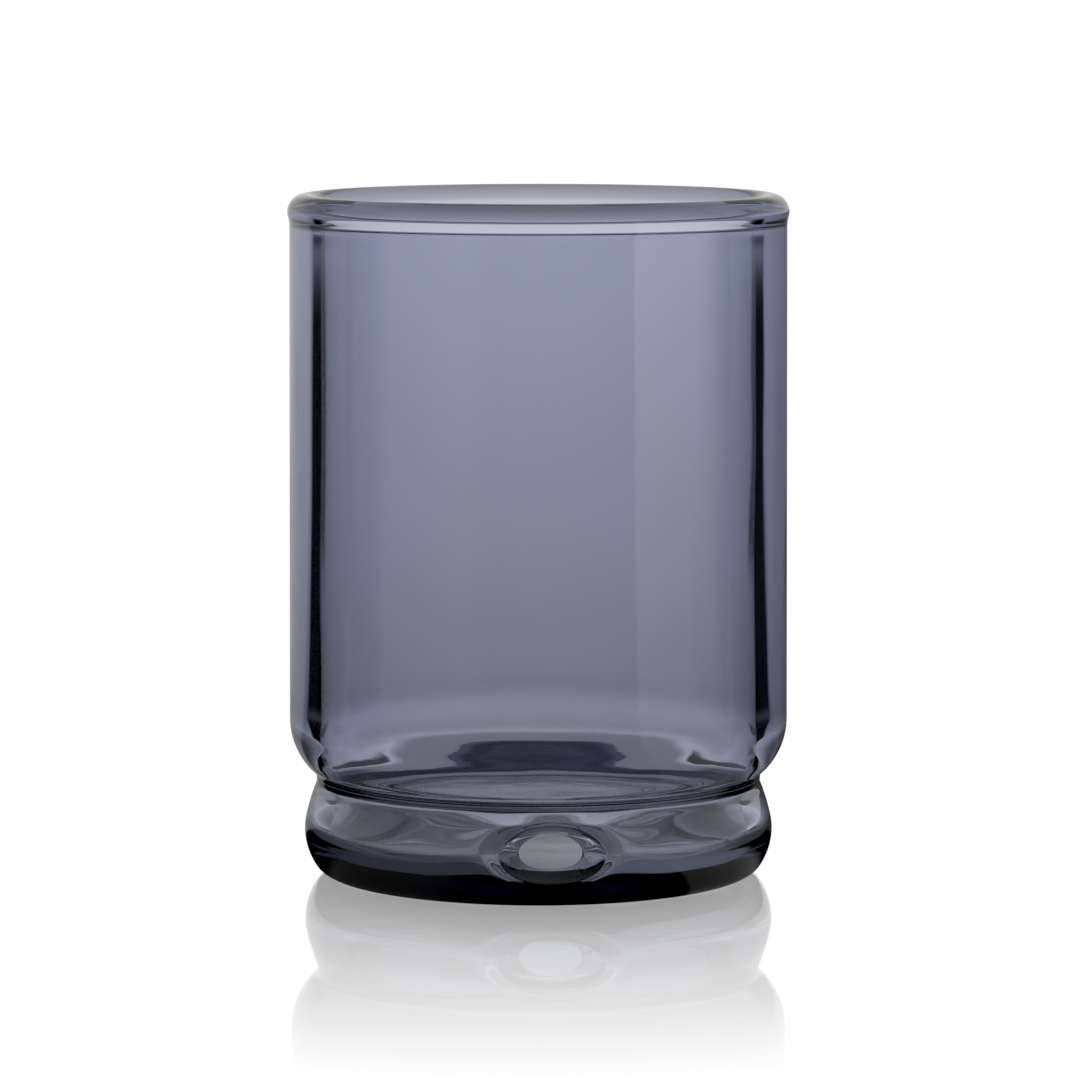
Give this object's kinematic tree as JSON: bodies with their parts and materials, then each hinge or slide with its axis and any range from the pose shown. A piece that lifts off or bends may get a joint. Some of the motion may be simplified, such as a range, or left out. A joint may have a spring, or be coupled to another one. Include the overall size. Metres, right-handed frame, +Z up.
{
  "type": "cortado glass",
  "caption": "Small straight-sided tumbler in thick smoked glass with a fire-polished rim, a tight waist and a hollow vented foot, for a short milk coffee.",
  "frame": {"origin": "centre of the standing face of the foot, on the table", "axes": "+Z up along the cup's axis, the vent in the foot faces -Y, +X to the right when looking at the vent"},
  "size_m": [0.06, 0.06, 0.082],
  "materials": {
    "smoke_glass": "clear polished glass with a blue-grey smoke tint"
  },
  "bodies": {
    "root": {"cup_body": "smoke_glass", "rim_bead": "smoke_glass", "waist_weld": "smoke_glass", "foot_bulb": "smoke_glass", "vent_lip": "smoke_glass"}
  },
  "joints": []
}
